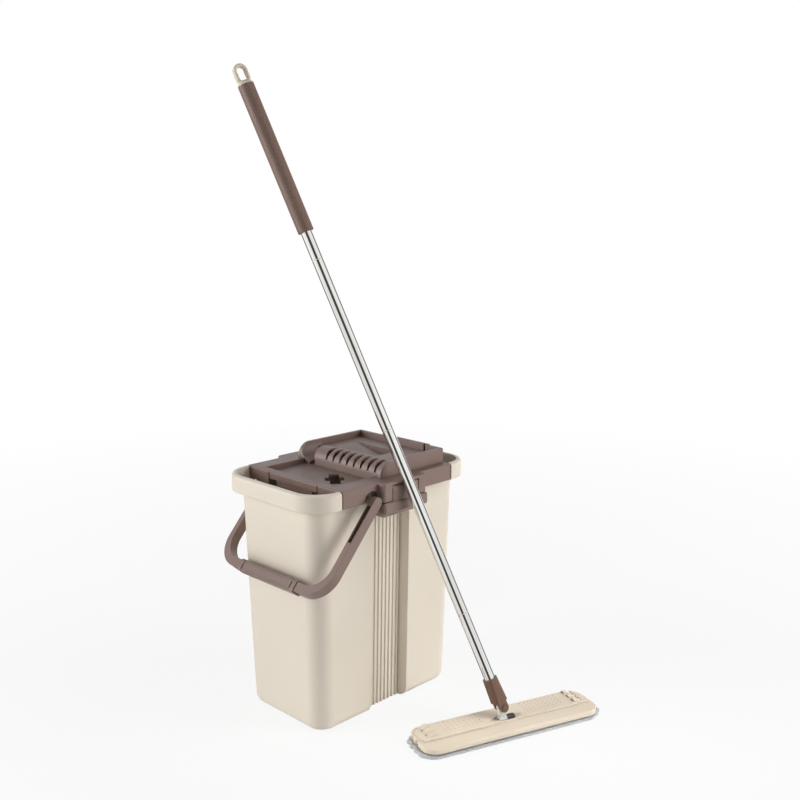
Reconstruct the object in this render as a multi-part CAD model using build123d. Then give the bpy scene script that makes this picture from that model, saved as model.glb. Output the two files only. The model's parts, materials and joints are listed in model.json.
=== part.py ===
"""Flat squeeze mop with its two-slot wringer bucket, in millimetres.

The origin is on the floor under the middle of the tub. X runs along the tub, the washing end is at
-X, the drying end at +X, and the mop leans on the -Y side. Z is up.
"""

from build123d import *
from math import asin, atan2, cos, degrees, hypot, radians, sin, tan
import os

# ---------------------------------------------------------------- tub
tub_height = 396.0
base_length = 298.0
base_width = 181.5
neck_length = 316.0
neck_width = 198.0
tub_corner_radius = 30.0
base_edge_radius = 15.0
tub_wall = 3.0
wall_overlap = 0.5

rim_length = 353.0
rim_width = 234.0
rim_height = 28.0
rim_corner_radius = 49.0
rim_lip = 8.0
rim_edge_radius = 5.0

channel_width = 83.0
channel_depth = 18.0
channel_draft = 4.0
rib_count = 9
rib_width = 5.0
rib_depth = 2.0
partition_drop = 96.0

# ---------------------------------------------------------------- wringer lid
lid_length = 242.0
lid_gap = 1.0
lid_plate = 3.0
lid_edge_radius = 3.0
skirt_height = 27.0
rail_width = 33.0
deck_drop = 8.0
front_bar_width = 13.0
front_bar_height = 12.0
block_height = 20.0
block_inner = 60.0
block_outer = 100.0
groove = 2.2
pivot_arch_radius = 15.5
deck_hole_x = -59.0
deck_hole_y = -30.0
deck_hole_length = 58.0
deck_hole_width = 17.0
deck_hole_reach = 31.0
deck_hole_arm = 19.0
deck_hole_turn = 52.0
drain_front = -14.0
drain_margin = 3.0

hood_front = -26.0
hood_height = 24.0
hood_width = 202.0
hood_wall = 7.0
hood_nose_radius = 23.0
tray_depth = 10.0
tray_plate = 3.0
tray_front = 15.0
scoop_front = 30.0
scoop_rear = 78.0
scoop_near = -32.0
scoop_far = 66.0
scoop_floor = 22.0
scoop_depth = 11.0
scoop_wall = 2.0
rear_strip = 1.6
rear_strip_near = -70.0
rear_strip_far = 38.0
screw_boss_diameter = 8.0
screw_boss_y = 91.0

barrel_radius = 20.0
barrel_x = -3.0
barrel_rise = 2.0
barrel_wall = 3.0
barrel_far_end = 66.0
slot_count = 8
slot_pitch = 16.5
slot_width = 9.0
slot_first_y = 36.0
slot_tip_width = 2.6
cove_radius = 24.0
cove_lift = 5.5

comb_length = 88.0
comb_height = 33.0
comb_flange = 16.0
finger_count = 9
finger_rows = 3
finger_length = 11.0
finger_diameter = 4.0

squeeze_travel = 6.0
squeeze_length = 150.0
squeeze_height = 28.0
squeeze_thickness = 8.0
squeeze_setback = 3.5
hanger_setback = 25.0
hanger_height = 33.0
rod_diameter = 5.0
rod_spacing = 50.0
rod_count = 3
spring_diameter = 10.0
spring_wire = 1.2
spring_coils = 5
blade_reach = 7.0
blade_thickness = 2.4

# ---------------------------------------------------------------- snap latches
latch_stand = 14.0
latch_pin_drop = 11.0
latch_pin_diameter = 4.0
latch_barrel_radius = 6.5
ear_inner = 29.5
ear_outer = 48.0
ear_drop = 29.0
bridge_gap = 0.5
flap_plate = 5.0
pin_inset = 3.0
flap_drop = 49.0
flap_foot_half = 48.5
foot_proud = 3.0
foot_bevel = 2.8
foot_corner_radius = 3.0
foot_clearance = 1.5
stem_clearance = 1.6
keeper_drop = 57.0
keeper_half = 48.0
keeper_corner_radius = 12.0
keeper_roundness = 7.0
latch_clearance = 0.6
hook_half = 17.0
hook_reach = 6.0
hook_thickness = 3.0

# ---------------------------------------------------------------- carrying bail
bail_pivot_x = -60.5
bail_pivot_drop = 26.0
bail_reach = 165.5
bail_depth = 17.0
arm_thickness = 10.0
arm_gap = 3.5
crossbar_thickness = 15.0
bail_corner_radius = 45.0
grip_length = 138.0
grip_thickness = 20.0
grip_collar = 8.0
grip_panel_depth = 1.2
arm_channel_start = 11.0
arm_channel_length = 64.0
arm_channel_width = 6.6
arm_channel_depth = 7.0
bail_rest_gap = 0.3
post_diameter = 8.0
post_collar_diameter = 12.0
post_shank_diameter = 6.0
post_clearance = 0.05
arm_bore_depth = 7.0

# ---------------------------------------------------------------- mop
mop_pivot_x = 78.0
mop_pivot_y = -277.2
mop_pivot_z = 15.5
mop_yaw = -19.8
side_lean = 17.5
rest_gap = 0.3
swivel_link = 20.0
yoke_offset = 5.5

pad_length = 322.0
pad_width = 80.0
pad_thickness = 5.5
pad_corner_radius = 26.0
soft_gap = 0.3
board_length = 304.0
board_width = 68.0
board_thickness = 2.0
cover_length = 316.0
cover_width = 78.0
cover_thickness = 10.5
cover_corner_radius = 24.0
cover_margin = 7.0
front_band = 27.0
cover_step = 2.5
ridge_width = 7.0
ridge_height = 1.8
ridge_length = 134.0
ridge_start = 16.0
dimple_diameter = 2.4
dimple_depth = 0.8
dimple_pitch = 8.0
dimple_start = 42.0
dimple_first_y = 3.0
dimple_columns = 9
dimple_rows = 4
clip_pitch = 14.5
clip_row_y = 14.5
clip_x = 134.0
clip_length = 16.0
clip_width = 11.0
end_notch_width = 9.0
end_notch_depth = 3.0

axle_diameter = 5.0
knuckle_diameter = 13.0
knuckle_half = 14.0
bearing_length = 16.0
groove_half = 34.0
groove_radius = 7.5
joint_clearance = 0.05
fork_pin_diameter = 5.0
tongue_thickness = 9.0
tongue_width = 14.0
ear_thickness = 6.0
fork_width_top = 22.0
fork_width_bottom = 24.0
fork_length = 50.0
fork_slot_height = 15.0
socket_depth = 28.0

tube_diameter = 18.0
tube_wall = 0.8
tube_joint_lower = 165.0
tube_joint_middle = 477.5
tube_joint_upper = 760.0
grip_bottom = 804.5
grip_top = 1040.0
cap_top = 1073.0
cap_flare_height = 7.0
cap_plug_depth = 25.0
eye_width = 22.0
eye_opening = 12.0
sleeve_diameter = 25.0
insert_length = 50.0
insert_collar = 1.0
insert_clearance = 0.05

screw_head_diameter = 6.0
screw_head_height = 2.2
screw_diameter = 3.0
screw_clearance = 0.1

# ---------------------------------------------------------------- worked out from the above
neck_z = tub_height - rim_height
base_draft_x = (neck_length - base_length) / 2 / neck_z
lid_half = lid_length / 2
rim_half = rim_width / 2
rail_inner = rim_half - rail_width
deck_top = tub_height - deck_drop
hood_half = hood_width / 2
hood_top = tub_height + hood_height
hood_inner = hood_half - hood_wall
tray_floor = hood_top - tray_depth
partition_height = tub_height - partition_drop
barrel_z = tub_height + barrel_rise
squeeze_x = lid_half - squeeze_setback
hanger_x = lid_half - hanger_setback
drain_rear = hanger_x - lid_plate - drain_margin
latch_face = rim_half + latch_stand
latch_pin_y = latch_face - latch_barrel_radius
latch_pin_z = tub_height - latch_pin_drop
pin_half = ear_outer - pin_inset
flap_bottom = tub_height - flap_drop
foot_face = latch_face + foot_proud
keeper_bottom = tub_height - keeper_drop
bail_pivot_z = tub_height - bail_pivot_drop
arm_inner = rim_half + arm_gap
ridge_y = front_band + ridge_width / 2 - cover_width / 2
bridge_bottom = latch_pin_z + latch_barrel_radius + bridge_gap
ear_bottom = tub_height - ear_drop
arm_outer = arm_inner + arm_thickness
board_z = pad_thickness + soft_gap
cover_z = board_z + board_thickness
cover_top = cover_z + cover_thickness
tube_radius = tube_diameter / 2
clear_big = 60.0

parts = {}


def box(x_low, x_high, y_low, y_high, z_low, z_high):
    """Block between two opposite corners."""
    size = Box(x_high - x_low, y_high - y_low, z_high - z_low)
    return Pos((x_low + x_high) / 2, (y_low + y_high) / 2, (z_low + z_high) / 2) * size


def rounded_slab(length, width, radius, z_low, z_high):
    """Upright slab with rounded corners, centred on Z."""
    face = Plane.XY.offset(z_low) * RectangleRounded(length, width, radius)
    return extrude(face, z_high - z_low)


def rod(start, direction, length, diameter):
    """Round bar from a point along a direction."""
    return extrude(Plane(origin=start, z_dir=direction) * Circle(diameter / 2), length)


def pipe(start, direction, length, outer, inner):
    """Round tube from a point along a direction."""
    ring = Circle(outer / 2) - Circle(inner / 2)
    return extrude(Plane(origin=start, z_dir=direction) * ring, length)


def tub_size(z):
    """Outer length and width of the drafted tub at a height."""
    share = z / neck_z
    length = base_length + (neck_length - base_length) * share
    width = base_width + (neck_width - base_width) * share
    return length, width


def tub_block(inset, z_low, z_high):
    """Solid block of the tub's outline, set in by a wall."""
    outlines = []
    for z in (z_low, z_high):
        length, width = tub_size(z)
        outline = RectangleRounded(length - 2 * inset, width - 2 * inset, tub_corner_radius - inset)
        outlines.append(Plane.XY.offset(z) * outline)
    return loft(outlines)


def channel_block(grow, z_low, z_high, side):
    """Block of the channel down one long side, grown by a wall for its inner face."""
    outlines = []
    for z in (z_low, z_high):
        face = side * tub_size(z)[1] / 2
        back = face - side * (channel_depth + grow)
        mouth = face + side * clear_big
        half_face = channel_width / 2 + grow
        half_back = half_face - channel_draft
        corners = [(-half_face, mouth), (-half_face, face), (-half_back, back)]
        corners += [(half_back, back), (half_face, face), (half_face, mouth)]
        outlines.append(Plane.XY.offset(z) * make_face(Polyline(corners, close=True)))
    return loft(outlines)


def channel_ribs(side):
    """Upright ribs on the channel's back face."""
    half_back = channel_width / 2 - channel_draft
    pitch = 2 * half_back / rib_count
    ribs = []
    for i in range(rib_count):
        x = -half_back + (i + 0.5) * pitch
        outlines = []
        for z in (0, neck_z - tub_wall):
            back = side * (tub_size(z)[1] / 2 - channel_depth)
            root = back - side * tub_wall / 2
            crest = back + side * rib_depth
            corners = [(x - rib_width / 2, root), (x - rib_width / 2 + rib_depth / 2, crest)]
            corners += [(x + rib_width / 2 - rib_depth / 2, crest), (x + rib_width / 2, root)]
            outlines.append(Plane.XY.offset(z) * make_face(Polyline(corners, close=True)))
        ribs.append(loft(outlines))
    return ribs


def make_bucket_shell():
    """Tub with its rim ends, channels, partition and the low wall that carries the lid."""
    body = tub_block(0, 0, neck_z)
    body = fillet(body.edges().group_by(Axis.Z)[0], base_edge_radius)
    cavity = tub_block(tub_wall, tub_wall, neck_z + 2 * tub_wall)
    cavity = fillet(cavity.edges().group_by(Axis.Z)[0], base_edge_radius - tub_wall)
    for side in (-1, 1):
        body -= channel_block(0, -1, neck_z - tub_wall, side)
        cavity -= channel_block(tub_wall, 0, neck_z, side)
    cavity -= box(-tub_wall / 2, tub_wall / 2, -rim_half, rim_half, 0, partition_height)

    rim = rounded_slab(rim_length, rim_width, rim_corner_radius, neck_z, tub_height)
    rim = fillet(rim.edges().group_by(Axis.Z)[-1], rim_edge_radius)
    rim = fillet(rim.edges().group_by(Axis.Z)[0], tub_wall / 2)
    well = rounded_slab(
        rim_length - 2 * rim_lip,
        rim_width - 2 * rim_lip,
        rim_corner_radius - rim_lip,
        neck_z + tub_wall,
        tub_height + 1,
    )
    rim -= well
    rim_clear = lid_half + lid_gap
    rim -= box(-rim_clear, rim_clear, -rim_width, rim_width, 0, 2 * tub_height)

    shell = body + rim - cavity
    wall_half = lid_half - lid_plate - lid_gap
    for side in (-1, 1):
        outer = side * neck_width / 2
        inner = outer - side * (tub_wall + wall_overlap)
        low, high = sorted((inner, outer))
        wall_top = tub_height - lid_plate
        shell += box(-wall_half, wall_half, low, high, neck_z - tub_wall, wall_top)
        hole_start = (bail_pivot_x, side * rim_half, bail_pivot_z)
        hole_size = post_shank_diameter + 2 * post_clearance
        shell -= rod(hole_start, (0, -side, 0), 2 * (rim_half - neck_width / 2) + tub_wall, hole_size)
        for rib in channel_ribs(side):
            shell += rib
    return shell


def make_wringer_frame():
    """Lid frame: rails, skirts, front bar, sunk deck, latch ears and the spring hanger."""
    skirt_z = tub_height - skirt_height
    rail_y = rail_inner
    frame = box(-lid_half, lid_half, -rim_half, rim_half, skirt_z, tub_height)
    frame = fillet(frame.edges().filter_by(Axis.Z), lid_edge_radius)
    frame = fillet(frame.edges().group_by(Axis.Z)[-1], lid_edge_radius * 0.8)

    sunk_front = -lid_half + front_bar_width
    sunk_rear = lid_half - lid_plate
    well = box(sunk_front, sunk_rear, -rail_y, rail_y, deck_top, tub_height + 1)
    inner = box(
        -lid_half + lid_plate,
        lid_half - lid_plate,
        -rim_half + lid_plate,
        rim_half - lid_plate,
        skirt_z - 1,
        tub_height - lid_plate,
    )
    sunk = box(
        sunk_front - lid_plate,
        sunk_rear + 1,
        -rail_y - lid_plate,
        rail_y + lid_plate,
        deck_top - lid_plate,
        tub_height,
    )
    frame = frame - well - (inner - sunk)

    for end in (-1, 1):
        low, high = sorted((end * (lid_half - lid_plate), end * (lid_half + 1)))
        bar_z = tub_height - front_bar_height
        block_z = tub_height - block_height
        frame -= box(low, high, -block_inner, block_inner, skirt_z - 1, bar_z)
        frame -= box(low, high, -block_outer, block_outer, skirt_z - 1, block_z)
    for side in (-1, 1):
        y_low, y_high = sorted((side * block_inner, side * (block_inner - groove)))
        face = -lid_half
        frame -= box(face - 1, face + groove, y_low, y_high, skirt_z, tub_height - 1)

    drain = box(drain_front, drain_rear, -rail_y + 8, rail_y - 8, deck_top - 5, deck_top + 5)
    frame -= drain
    cross = Rectangle(deck_hole_length, deck_hole_width) + Rectangle(deck_hole_arm, deck_hole_reach)
    hole = Pos(deck_hole_x, deck_hole_y, deck_top - 2 * lid_plate) * extrude(cross, 3 * lid_plate)
    frame -= hole.rotate(Axis((deck_hole_x, deck_hole_y, 0), (0, 0, 1)), deck_hole_turn)

    for side in (-1, 1):
        for x_low, x_high in ((-ear_outer, -ear_inner), (ear_inner, ear_outer)):
            frame += latch_ear(side, x_low, x_high)
        frame += latch_bridge(side)
        pin_start = (-pin_half, side * latch_pin_y, latch_pin_z)
        frame -= rod(pin_start, (1, 0, 0), 2 * pin_half, latch_pin_diameter)
        frame -= rod(
            (bail_pivot_x, side * (rim_half - lid_plate - 2), bail_pivot_z),
            (0, side, 0),
            lid_plate + 4,
            2 * pivot_arch_radius,
        )
        for screw_x in hood_screw_places():
            hole = screw_diameter + 2 * screw_clearance
            frame -= rod((screw_x, side * screw_boss_y, deck_top), (0, 0, 1), 20, hole)

    hanger = box(
        hanger_x - lid_plate,
        hanger_x,
        -squeeze_length / 2,
        squeeze_length / 2,
        deck_top - lid_plate - hanger_height,
        deck_top - lid_plate + 1,
    )
    frame += hanger
    for y in rod_places():
        frame -= rod((hanger_x - 10, y, rod_height()), (1, 0, 0), 20, rod_diameter)
    return frame


def latch_ear(side, x_low, x_high):
    """One ear that hangs from the lid's rail beside a snap flap."""
    low, high = sorted((side * (rim_half - lid_plate), side * latch_face))
    ear = box(x_low, x_high, low, high, ear_bottom, tub_height)
    outside = ear.faces().sort_by(Axis.Y)[-1 if side > 0 else 0]
    corner = outside.edges().filter_by(Axis.Z).sort_by(Axis.X)[0 if x_low < 0 else -1]
    ear = fillet(corner, 6)
    outside = ear.faces().sort_by(Axis.Y)[-1 if side > 0 else 0]
    return fillet(outside.edges().group_by(Axis.Z)[-1], lid_edge_radius)


def latch_bridge(side):
    """Cap between the ears over a snap flap's pin."""
    low, high = sorted((side * (rim_half - lid_plate), side * latch_face))
    bridge = box(-ear_inner, ear_inner, low, high, bridge_bottom, tub_height)
    outside = bridge.faces().sort_by(Axis.Y)[-1 if side > 0 else 0]
    return fillet(outside.edges().group_by(Axis.Z)[-1], lid_edge_radius)


def hood_screw_places():
    """Where the hood's screw bosses stand along X."""
    return (tray_front + 10, lid_half - 15)


def rod_places():
    """Where the squeeze bar's guide rods lie along Y."""
    first = -rod_spacing * (rod_count - 1) / 2
    return [first + i * rod_spacing for i in range(rod_count)]


def rod_height():
    """Height of the guide rods, at the middle of the squeeze bar."""
    return deck_top - lid_plate - hanger_height + squeeze_height / 2


def make_cheek_cove(profile):
    """Hollow curve at the foot of the far cheek, beside the grille's end."""
    toe_y = hood_inner - cove_radius
    low_z = deck_top + cove_lift
    arc = RadiusArc((hood_inner, low_z + cove_radius), (toe_y, low_z), cove_radius)
    foot = [(toe_y, low_z), (toe_y, deck_top), (rail_inner - 0.2, deck_top), (rail_inner - 0.2, tub_height)]
    foot += [(hood_inner + 1, tub_height), (hood_inner + 1, low_z + cove_radius), (hood_inner, low_z + cove_radius)]
    section = make_face(arc + Polyline(foot))
    cove = extrude(Plane.YZ.offset(hood_front) * section, tray_front + hood_wall - hood_front)
    below = box(hood_front, lid_half, -hood_half, hood_half, deck_top - 1, tub_height)
    return cove & (extrude(Plane.XZ * profile, hood_half, both=True) + below)


def make_hood_cover():
    """Hood with quarter-round cheeks, a sunk tray on top and screw bosses below."""
    nose = hood_nose_radius
    points = [(hood_front, tub_height), (hood_front, hood_top - nose)]
    side_line = Polyline(points[0], points[1])
    nose_arc = RadiusArc(points[1], (hood_front + nose, hood_top), nose)
    back_line = Polyline((hood_front + nose, hood_top), (lid_half, hood_top), (lid_half, tub_height), points[0])
    profile = make_face(side_line + nose_arc + back_line)
    hood = extrude(Plane.XZ * profile, hood_half, both=True)
    hood = fillet(hood.edges().filter_by(Axis.Z).sort_by(Axis.X)[-2:], 4)
    hood = fillet(hood.faces().sort_by(Axis.Z)[-1].edges(), 2)

    hood -= box(hood_front - 1, tray_front, -hood_inner, hood_inner, tub_height - 1, hood_top + 1)
    rear = lid_half - hood_wall
    hood -= box(tray_front - 1, rear, -hood_inner, hood_inner, tray_floor, hood_top + 1)
    under_top = tray_floor - tray_plate
    hood -= box(tray_front - 1, rear, -hood_inner, hood_inner, tub_height - 1, under_top)
    for side in (-1, 1):
        for x in hood_screw_places():
            boss = rod((x, side * screw_boss_y, tub_height), (0, 0, 1), under_top - tub_height + 0.5, screw_boss_diameter)
            hood += boss
            pilot = screw_diameter + 2 * screw_clearance
            hood -= rod((x, side * screw_boss_y, tub_height - 1), (0, 0, 1), under_top - tub_height, pilot)

    low = tray_floor - scoop_depth
    floor_end = scoop_near + scoop_floor
    cup_points = [(scoop_near - scoop_wall, tray_floor), (scoop_near - scoop_wall, low - scoop_wall)]
    cup_points += [(floor_end, low - scoop_wall), (scoop_far + 2 * scoop_wall, tray_floor)]
    cup_face = Plane.YZ.offset(scoop_front - scoop_wall) * make_face(Polyline(cup_points, close=True))
    hood += extrude(cup_face, scoop_rear - scoop_front + 2 * scoop_wall)
    hollow_points = [(scoop_near, hood_top), (scoop_near, low), (floor_end, low)]
    hollow_points += [(scoop_far, tray_floor), (scoop_far, hood_top)]
    hollow_face = Plane.YZ.offset(scoop_front) * make_face(Polyline(hollow_points, close=True))
    hollow = extrude(hollow_face, scoop_rear - scoop_front)
    hood -= fillet(hollow.edges().filter_by(Axis.Z), 8)
    port = box(scoop_front, scoop_rear, scoop_near, floor_end, low - 2 * scoop_wall, low + 1)
    hood -= fillet(port.edges().filter_by(Axis.Z), 8)
    strip = box(rear + 1, lid_half - 1, rear_strip_near, rear_strip_far, hood_top - 1, hood_top + rear_strip)
    hood += chamfer(strip.edges().filter_by(Axis.X).group_by(Axis.Z)[-1], rear_strip * 0.8)
    hood += make_cheek_cove(profile)
    notch_y = -0.62 * hood_half
    hood -= box(rear - 1, rear + hood_wall / 2, notch_y - 2, notch_y + 2, tray_floor, hood_top + 1)
    return hood


def make_louvre_grille():
    """Half-barrel grille between the hood's cheeks, with open slots over its crown."""
    near_end = -hood_inner + 0.2
    length = barrel_far_end - near_end
    end_plane = Plane(origin=(barrel_x, near_end, barrel_z), x_dir=(0, 0, -1), z_dir=(0, 1, 0))
    outer = extrude(end_plane * Circle(barrel_radius), length)
    outer = fillet(outer.edges().sort_by(Axis.Y)[-1], 6)
    inner = extrude(end_plane * Circle(barrel_radius - barrel_wall), length - barrel_wall)
    front = barrel_x - barrel_radius
    wall = box(front, front + barrel_wall, near_end, barrel_far_end - 6, tub_height, barrel_z)
    stand_end = 0.2 - rail_inner
    wall += box(front, front + barrel_wall, stand_end, barrel_far_end - 6, deck_top, barrel_z)
    keep_rear = tray_front - 1
    keep = box(front - 1, keep_rear, near_end - 1, barrel_far_end + 1, barrel_z, hood_top + 1)
    keep -= box(barrel_x, keep_rear + 1, near_end - 2, barrel_far_end + 2, 0, tray_floor - tray_plate)
    grille = (outer - inner) & keep
    grille += wall

    low = (front - 1, barrel_z + 3)
    high = (barrel_x + 12, barrel_z + barrel_radius * 0.8)
    reach = 30
    corners = [low, high, (high[0], high[1] + reach), (low[0], low[1] + reach)]
    above = extrude(Plane.XZ * make_face(Polyline(corners, close=True)), slot_width, both=True)
    half = slot_width / 2
    tip = slot_tip_width / 2
    widest = barrel_x - barrel_radius * 0.55
    drop = [(low[0], tip), (widest, half), (high[0], half), (high[0], -half), (widest, -half), (low[0], -tip)]
    drop_face = make_face(Polyline(drop, close=True))
    drop_face = fillet(drop_face.vertices().group_by(Axis.X)[-1], half * 0.9)
    slot = extrude(Plane.XY.offset(tub_height) * drop_face, 2 * reach) & above
    for i in range(slot_count):
        grille -= Pos(0, slot_first_y - slot_width / 2 - i * slot_pitch, 0) * slot
    return grille


def make_wash_comb():
    """Scrubbing fingers that reach from the lid's front bar into the washing slot."""
    plate_front = -lid_half + lid_plate + 0.2
    top = deck_top - lid_plate
    bottom = top - comb_height
    half = comb_length / 2
    comb = box(plate_front, plate_front + lid_plate, -half, half, bottom, top)
    comb += box(plate_front, plate_front + comb_flange, -half, half, top - lid_plate, top)
    pitch_y = comb_length / finger_count
    pitch_z = (comb_height - 8) / finger_rows
    for row in range(finger_rows):
        z = bottom + 4 + row * pitch_z
        for i in range(finger_count):
            y = -half + (i + 0.5) * pitch_y
            tip = Plane(origin=(plate_front + 1, y, z), z_dir=(-1, 0, 0))
            finger = extrude(tip * Circle(finger_diameter / 2), finger_length + 1, taper=4)
            comb += finger
    return comb


def make_squeeze_set():
    """Sprung wringing bar of the drying slot, with its lip, rods and springs."""
    half = squeeze_length / 2
    z_mid = rod_height()
    bottom = z_mid - squeeze_height / 2
    back = squeeze_x - squeeze_thickness
    bar = box(back, squeeze_x, -half, half, bottom, bottom + squeeze_height)
    bar = fillet(bar.edges().filter_by(Axis.X), 4)
    slot = box(squeeze_x - 4, squeeze_x + 1, -half + 3, half - 3, 0, 0 + blade_thickness)
    blade_z = bottom + squeeze_height - 7
    bar -= Pos(0, 0, blade_z) * slot
    blade = box(squeeze_x - 4, squeeze_x + blade_reach, -half + 3, half - 3, blade_z, blade_z + blade_thickness)
    blade = fillet(blade.faces().sort_by(Axis.X)[-1].edges().filter_by(Axis.Y), blade_thickness * 0.4)
    rods = []
    springs = []
    for y in rod_places():
        bore = rod_diameter + 2 * joint_clearance
        bar -= rod((back - 1, y, z_mid), (1, 0, 0), squeeze_thickness + 2, bore)
        start = (hanger_x - lid_plate, y, z_mid)
        guide = rod(start, (1, 0, 0), squeeze_x + 0.3 + lid_plate - hanger_x, rod_diameter)
        guide += rod((squeeze_x + 0.3, y, z_mid), (1, 0, 0), 1.8, rod_diameter + 4)
        rods.append(guide)
        spring_length = back - hanger_x - 0.4
        inner = spring_diameter - 2 * spring_wire
        springs.append(pipe((hanger_x + 0.2, y, z_mid), (1, 0, 0), spring_length, spring_diameter, inner))
    return bar, blade, rods, springs


def hood_screws():
    """Pan-head screws that hold the hood from below the frame."""
    screws = []
    seat = tub_height - lid_plate
    for side in (-1, 1):
        for x in hood_screw_places():
            head = rod((x, side * screw_boss_y, seat - screw_head_height), (0, 0, 1), screw_head_height, screw_head_diameter)
            shank = rod((x, side * screw_boss_y, seat - 0.1), (0, 0, 1), lid_plate + 7, screw_diameter)
            screws.append(head + shank)
    return screws


def make_latch_flap(side):
    """T-shaped snap flap with its hinge barrel and inward hook."""
    outer = side * latch_face
    inner = side * (latch_face - flap_plate)
    low, high = sorted((outer, inner))
    stem_half = ear_inner - stem_clearance
    foot_top = ear_bottom - foot_clearance
    stem = box(-stem_half, stem_half, low, high, foot_top - 1, latch_pin_z)
    foot_low, foot_high = sorted((inner, side * foot_face))
    foot = box(-flap_foot_half, flap_foot_half, foot_low, foot_high, flap_bottom, foot_top)
    foot = fillet(foot.edges().filter_by(Axis.Y), foot_corner_radius)
    foot = chamfer(foot.faces().sort_by(Axis.Y)[-1 if side > 0 else 0].edges(), foot_bevel)
    flap = stem + foot
    barrel_start = (-stem_half, side * latch_pin_y, latch_pin_z)
    flap += rod(barrel_start, (1, 0, 0), 2 * stem_half, 2 * latch_barrel_radius)
    hook_in = latch_face - flap_plate - hook_reach
    low, high = sorted((side * hook_in, inner + side * 0.5))
    hook_z = flap_bottom + 8
    flap += box(-hook_half, hook_half, low, high, hook_z, hook_z + hook_thickness)
    bore = latch_pin_diameter + 2 * joint_clearance
    flap -= rod((-ear_outer, side * latch_pin_y, latch_pin_z), (1, 0, 0), 2 * ear_outer, bore)
    return flap


def make_latch_keeper(side):
    """Bracket on the tub behind a snap flap, with the pocket for its hook."""
    back = neck_width / 2 + 0.2
    front = latch_face - flap_plate - latch_clearance
    top = ear_bottom - latch_clearance
    low, high = sorted((side * back, side * front))
    keeper = box(-keeper_half, keeper_half, low, high, keeper_bottom, top)
    keeper = fillet(keeper.edges().filter_by(Axis.Y).group_by(Axis.Z)[0], keeper_corner_radius)
    face = keeper.faces().sort_by(Axis.Y)[-1 if side > 0 else 0]
    top_edge = face.edges().group_by(Axis.Z)[-1]
    round_edges = [edge for edge in face.edges() if edge not in top_edge]
    keeper = fillet(round_edges, keeper_roundness)
    low, high = sorted((side * (front - hook_reach - 3), side * (front + 1)))
    pocket_z = flap_bottom + 5
    keeper -= box(-hook_half - 3, hook_half + 3, low, high, pocket_z, pocket_z + 10)
    return keeper


def make_bail_post(side):
    """Turned post from the tub's wall through the end of a bail arm."""
    wall_y = side * neck_width / 2
    direction = (0, side, 0)
    shank_start = (bail_pivot_x, wall_y - side * (tub_wall + 2), bail_pivot_z)
    post = rod(shank_start, direction, tub_wall + 2, post_shank_diameter)
    collar_length = arm_inner - 0.3 - neck_width / 2
    post += rod((bail_pivot_x, wall_y, bail_pivot_z), direction, collar_length, post_collar_diameter)
    pin_length = arm_inner + arm_bore_depth - 0.3 - neck_width / 2
    post += rod((bail_pivot_x, wall_y, bail_pivot_z), direction, pin_length, post_diameter)
    return post


def bail_rest_angle():
    """Angle of the hanging bail from straight down, where its grip meets the tub's end wall."""
    along = bail_reach - grip_thickness / 2
    behind = grip_thickness / 2
    side_gain = along + base_draft_x * behind
    down_gain = base_draft_x * along - behind
    reach = bail_pivot_x + base_draft_x * bail_pivot_z + base_length / 2 + bail_rest_gap
    return asin(reach / hypot(side_gain, down_gain)) - atan2(down_gain, side_gain)


def bail_plane():
    """Plane of the bail: its X along the pivots, its Y down the arms and its Z outward."""
    angle = bail_rest_angle()
    outward = (-cos(angle), 0, sin(angle))
    return Plane(origin=(bail_pivot_x, 0, bail_pivot_z), x_dir=(0, 1, 0), z_dir=outward)


def grip_core():
    """Cross-bar core inside the grip: thickness down the arms and depth."""
    return crossbar_thickness - 3, bail_depth - 4


def make_bail_handle():
    """Flat U-shaped bail with rounded corners and round pivot ends."""
    outer_half = arm_outer
    inner_half = arm_inner
    end = bail_reach + crossbar_thickness / 2
    inner_end = bail_reach - crossbar_thickness / 2
    outer = Pos(0, end / 2) * Rectangle(2 * outer_half, end)
    outer = fillet(outer.vertices().group_by(Axis.Y)[-1], bail_corner_radius)
    inner = Pos(0, inner_end / 2 - 1) * Rectangle(2 * inner_half, inner_end + 2)
    inner = fillet(inner.vertices().group_by(Axis.Y)[-1], bail_corner_radius - arm_thickness)
    bail = extrude(bail_plane() * (outer - inner), bail_depth / 2, both=True)
    for side in (-1, 1):
        y_low = side * arm_inner
        bail += rod((bail_pivot_x, y_low, bail_pivot_z), (0, side, 0), arm_thickness, bail_depth)
        bore = post_diameter + 2 * post_clearance
        bore_start = (bail_pivot_x, y_low - side, bail_pivot_z)
        bail -= rod(bore_start, (0, side, 0), arm_bore_depth + 1, bore)
        channel = Box(arm_channel_width, arm_channel_length, arm_channel_depth)
        middle = arm_channel_start + arm_channel_length / 2
        x = side * (arm_inner + arm_thickness / 2)
        bail -= bail_plane() * (Pos(x, middle, (bail_depth - arm_channel_depth) / 2) * channel)
    core_thickness, core_depth = grip_core()
    sleeve = Box(grip_length + 0.4, 2 * crossbar_thickness, 2 * bail_depth)
    sleeve -= Box(grip_length + 1, core_thickness, core_depth)
    bail -= bail_plane() * (Pos(0, bail_reach, 0) * sleeve)
    return bail


def make_bail_grip():
    """Ribbed grip moulded round the bail's cross-bar."""
    core_thickness, core_depth = grip_core()
    grip = Box(grip_length, grip_thickness, grip_thickness)
    grip = fillet(grip.edges().filter_by(Axis.X), 4)
    grip -= Box(grip_length + 2, core_thickness + 0.2, core_depth + 0.2)
    panel = Box(grip_length - 2 * grip_collar, grip_thickness - 4, 2 * grip_panel_depth)
    pad = Box(grip_length - 2 * grip_collar - 5, grip_thickness - 9, 2 * grip_panel_depth)
    for face in (-1, 1):
        grip -= Pos(0, 0, face * grip_thickness / 2) * (panel - pad)
    return bail_plane() * (Pos(0, bail_reach, 0) * grip)


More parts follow.
